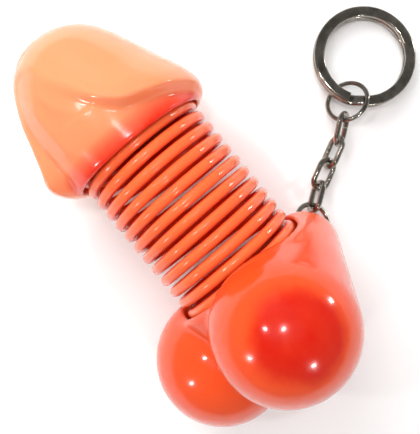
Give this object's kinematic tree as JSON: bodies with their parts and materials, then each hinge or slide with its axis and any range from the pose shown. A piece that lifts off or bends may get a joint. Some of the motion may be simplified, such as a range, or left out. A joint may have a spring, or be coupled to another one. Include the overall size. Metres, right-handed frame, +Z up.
{
  "type": "novelty keychain",
  "caption": "Novelty keychain: a hollow plastic head and two-lobed base joined by an open coil spring that bends and stretches, on a steel chain with a split key ring.",
  "frame": {"origin": "bottom centre of the box round the whole keychain as it lies on a table", "axes": "+X along the spring from the head to the base, +Y towards the key ring, +Z up from the table"},
  "size_m": [0.0947, 0.0998, 0.0515],
  "materials": {
    "base_plastic": "high gloss, airbrushed red-orange on the lobes",
    "head_plastic": "high gloss",
    "coil_plastic": "high gloss, slightly translucent",
    "steel": "bright nickel plate, lightly tarnished"
  },
  "bodies": {
    "base": {"base_shell": "base_plastic", "base_plug": "base_plastic", "coil_base_end": "coil_plastic"},
    "coil_01": {"coil_half_01": "coil_plastic"},
    "coil_02": {"coil_half_02": "coil_plastic"},
    "coil_03": {"coil_half_03": "coil_plastic"},
    "coil_04": {"coil_half_04": "coil_plastic"},
    "coil_05": {"coil_half_05": "coil_plastic"},
    "coil_06": {"coil_half_06": "coil_plastic"},
    "coil_07": {"coil_half_07": "coil_plastic"},
    "coil_08": {"coil_half_08": "coil_plastic"},
    "coil_09": {"coil_half_09": "coil_plastic"},
    "coil_10": {"coil_half_10": "coil_plastic"},
    "coil_11": {"coil_half_11": "coil_plastic"},
    "coil_12": {"coil_half_12": "coil_plastic"},
    "coil_13": {"coil_half_13": "coil_plastic"},
    "coil_14": {"coil_half_14": "coil_plastic"},
    "coil_15": {"coil_half_15": "coil_plastic"},
    "coil_16": {"coil_half_16": "coil_plastic"},
    "coil_17": {"coil_half_17": "coil_plastic"},
    "coil_18": {"coil_half_18": "coil_plastic"},
    "coil_19": {"coil_half_19": "coil_plastic"},
    "coil_20": {"coil_half_20": "coil_plastic"},
    "coil_21": {"coil_half_21": "coil_plastic"},
    "coil_22": {"coil_half_22": "coil_plastic"},
    "coil_23": {"coil_half_23": "coil_plastic"},
    "head": {"coil_half_24": "coil_plastic", "head_shell": "head_plastic", "head_plug": "head_plastic", "coil_head_end": "coil_plastic"},
    "lug_ring": {"lug_ring": "steel"},
    "chain_link_1": {"chain_link_1": "steel"},
    "chain_link_2": {"chain_link_2": "steel"},
    "chain_link_3": {"chain_link_3": "steel"},
    "chain_link_4": {"chain_link_4": "steel"},
    "jump_ring": {"jump_ring": "steel"},
    "split_ring": {"split_ring": "steel"}
  },
  "joints": [
    {"name": "nod_1", "type": "hinge", "parent": "base", "child": "coil_01", "pos_m": [0.01964, -0.01886, 0.01979], "axis": [0, 0.5807, 0.8141], "range_deg": [-1.8, 1.8], "stiffness_Nm_per_rad": 1.9},
    {"name": "sway_1", "type": "hinge", "parent": "coil_01", "child": "coil_02", "pos_m": [0.01811, -0.01886, 0.01979], "axis": [0, -0.8141, 0.5807], "range_deg": [-1.8, 1.8], "stiffness_Nm_per_rad": 1.9},
    {"name": "stretch_1", "type": "slide", "parent": "coil_02", "child": "coil_03", "axis": [-1, 0, 0], "range_m": [-0.00012, 0.00125], "stiffness_N_per_m": 1900},
    {"name": "nod_2", "type": "hinge", "parent": "coil_03", "child": "coil_04", "pos_m": [0.01506, -0.01886, 0.01979], "axis": [0, 0.5807, 0.8141], "range_deg": [-1.8, 1.8]},
    {"name": "sway_2", "type": "hinge", "parent": "coil_04", "child": "coil_05", "pos_m": [0.01354, -0.01886, 0.01979], "axis": [0, -0.8141, 0.5807], "range_deg": [-1.8, 1.8]},
    {"name": "stretch_2", "type": "slide", "parent": "coil_05", "child": "coil_06", "axis": [-1, 0, 0], "range_m": [-0.00012, 0.00125]},
    {"name": "nod_3", "type": "hinge", "parent": "coil_06", "child": "coil_07", "pos_m": [0.01049, -0.01886, 0.01979], "axis": [0, 0.5807, 0.8141], "range_deg": [-1.8, 1.8]},
    {"name": "sway_3", "type": "hinge", "parent": "coil_07", "child": "coil_08", "pos_m": [0.00896, -0.01886, 0.01979], "axis": [0, -0.8141, 0.5807], "range_deg": [-1.8, 1.8]},
    {"name": "stretch_3", "type": "slide", "parent": "coil_08", "child": "coil_09", "axis": [-1, 0, 0], "range_m": [-0.00012, 0.00125]},
    {"name": "nod_4", "type": "hinge", "parent": "coil_09", "child": "coil_10", "pos_m": [0.00591, -0.01886, 0.01979], "axis": [0, 0.5807, 0.8141], "range_deg": [-1.8, 1.8]},
    {"name": "sway_4", "type": "hinge", "parent": "coil_10", "child": "coil_11", "pos_m": [0.00439, -0.01886, 0.01979], "axis": [0, -0.8141, 0.5807], "range_deg": [-1.8, 1.8]},
    {"name": "stretch_4", "type": "slide", "parent": "coil_11", "child": "coil_12", "axis": [-1, 0, 0], "range_m": [-0.00012, 0.00125]},
    {"name": "nod_5", "type": "hinge", "parent": "coil_12", "child": "coil_13", "pos_m": [0.00134, -0.01886, 0.01979], "axis": [0, 0.5807, 0.8141], "range_deg": [-1.8, 1.8]},
    {"name": "sway_5", "type": "hinge", "parent": "coil_13", "child": "coil_14", "pos_m": [-0.00019, -0.01886, 0.01979], "axis": [0, -0.8141, 0.5807], "range_deg": [-1.8, 1.8]},
    {"name": "stretch_5", "type": "slide", "parent": "coil_14", "child": "coil_15", "axis": [-1, 0, 0], "range_m": [-0.00012, 0.00125]},
    {"name": "nod_6", "type": "hinge", "parent": "coil_15", "child": "coil_16", "pos_m": [-0.00324, -0.01886, 0.01979], "axis": [0, 0.5807, 0.8141], "range_deg": [-1.8, 1.8]},
    {"name": "sway_6", "type": "hinge", "parent": "coil_16", "child": "coil_17", "pos_m": [-0.00476, -0.01886, 0.01979], "axis": [0, -0.8141, 0.5807], "range_deg": [-1.8, 1.8]},
    {"name": "stretch_6", "type": "slide", "parent": "coil_17", "child": "coil_18", "axis": [-1, 0, 0], "range_m": [-0.00012, 0.00125]},
    {"name": "nod_7", "type": "hinge", "parent": "coil_18", "child": "coil_19", "pos_m": [-0.00781, -0.01886, 0.01979], "axis": [0, 0.5807, 0.8141], "range_deg": [-1.8, 1.8]},
    {"name": "sway_7", "type": "hinge", "parent": "coil_19", "child": "coil_20", "pos_m": [-0.00934, -0.01886, 0.01979], "axis": [0, -0.8141, 0.5807], "range_deg": [-1.8, 1.8]},
    {"name": "stretch_7", "type": "slide", "parent": "coil_20", "child": "coil_21", "axis": [-1, 0, 0], "range_m": [-0.00012, 0.00125]},
    {"name": "nod_8", "type": "hinge", "parent": "coil_21", "child": "coil_22", "pos_m": [-0.01239, -0.01886, 0.01979], "axis": [0, 0.5807, 0.8141], "range_deg": [-1.8, 1.8]},
    {"name": "sway_8", "type": "hinge", "parent": "coil_22", "child": "coil_23", "pos_m": [-0.01391, -0.01886, 0.01979], "axis": [0, -0.8141, 0.5807], "range_deg": [-1.8, 1.8]},
    {"name": "stretch_8", "type": "slide", "parent": "coil_23", "child": "head", "axis": [-1, 0, 0], "range_m": [-0.00012, 0.00125]},
    {"name": "lug_ring_swing", "type": "hinge", "parent": "base", "child": "lug_ring", "pos_m": [0.02265, -0.00201, 0.00777], "axis": [1, 0, 0], "range_deg": [-40, 30]},
    {"name": "chain_link_1_swing", "type": "hinge", "parent": "lug_ring", "child": "chain_link_1", "pos_m": [0.02009, 0.00461, 0.00395], "axis": [-0.7986, -0.5212, 0.3009], "range_deg": [-25, 25]},
    {"name": "chain_link_2_swing", "type": "hinge", "parent": "chain_link_1", "child": "chain_link_2", "pos_m": [0.01683, 0.00945, 0.0025], "axis": [-0.1851, -0.3954, -0.8996], "range_deg": [-30, 30]},
    {"name": "chain_link_3_swing", "type": "hinge", "parent": "chain_link_2", "child": "chain_link_3", "pos_m": [0.01413, 0.01474, 0.0026], "axis": [-0.8042, -0.418, 0.4226], "range_deg": [-25, 25]},
    {"name": "chain_link_4_swing", "type": "hinge", "parent": "chain_link_3", "child": "chain_link_4", "pos_m": [0.01136, 0.01994, 0.00332], "axis": [-0.5533, -0.1811, -0.813], "range_deg": [-16, 30]},
    {"name": "jump_ring_swing", "type": "hinge", "parent": "chain_link_4", "child": "jump_ring", "pos_m": [0.00762, 0.02441, 0.00446], "axis": [-0.3267, -0.4806, 0.8138], "range_deg": [-25, 25]},
    {"name": "split_ring_swing", "type": "hinge", "parent": "jump_ring", "child": "split_ring", "pos_m": [0.0053, 0.02758, 0.00372], "axis": [-0.8746, -0.4848, 0], "range_deg": [-15, 15]}
  ],
  "couplings": [
    {"joint": "nod_2", "follows": "nod_1", "ratio": 1},
    {"joint": "sway_2", "follows": "sway_1", "ratio": 1},
    {"joint": "stretch_2", "follows": "stretch_1", "ratio": 1},
    {"joint": "nod_3", "follows": "nod_1", "ratio": 1},
    {"joint": "sway_3", "follows": "sway_1", "ratio": 1},
    {"joint": "stretch_3", "follows": "stretch_1", "ratio": 1},
    {"joint": "nod_4", "follows": "nod_1", "ratio": 1},
    {"joint": "sway_4", "follows": "sway_1", "ratio": 1},
    {"joint": "stretch_4", "follows": "stretch_1", "ratio": 1},
    {"joint": "nod_5", "follows": "nod_1", "ratio": 1},
    {"joint": "sway_5", "follows": "sway_1", "ratio": 1},
    {"joint": "stretch_5", "follows": "stretch_1", "ratio": 1},
    {"joint": "nod_6", "follows": "nod_1", "ratio": 1},
    {"joint": "sway_6", "follows": "sway_1", "ratio": 1},
    {"joint": "stretch_6", "follows": "stretch_1", "ratio": 1},
    {"joint": "nod_7", "follows": "nod_1", "ratio": 1},
    {"joint": "sway_7", "follows": "sway_1", "ratio": 1},
    {"joint": "stretch_7", "follows": "stretch_1", "ratio": 1},
    {"joint": "nod_8", "follows": "nod_1", "ratio": 1},
    {"joint": "sway_8", "follows": "sway_1", "ratio": 1},
    {"joint": "stretch_8", "follows": "stretch_1", "ratio": 1}
  ]
}
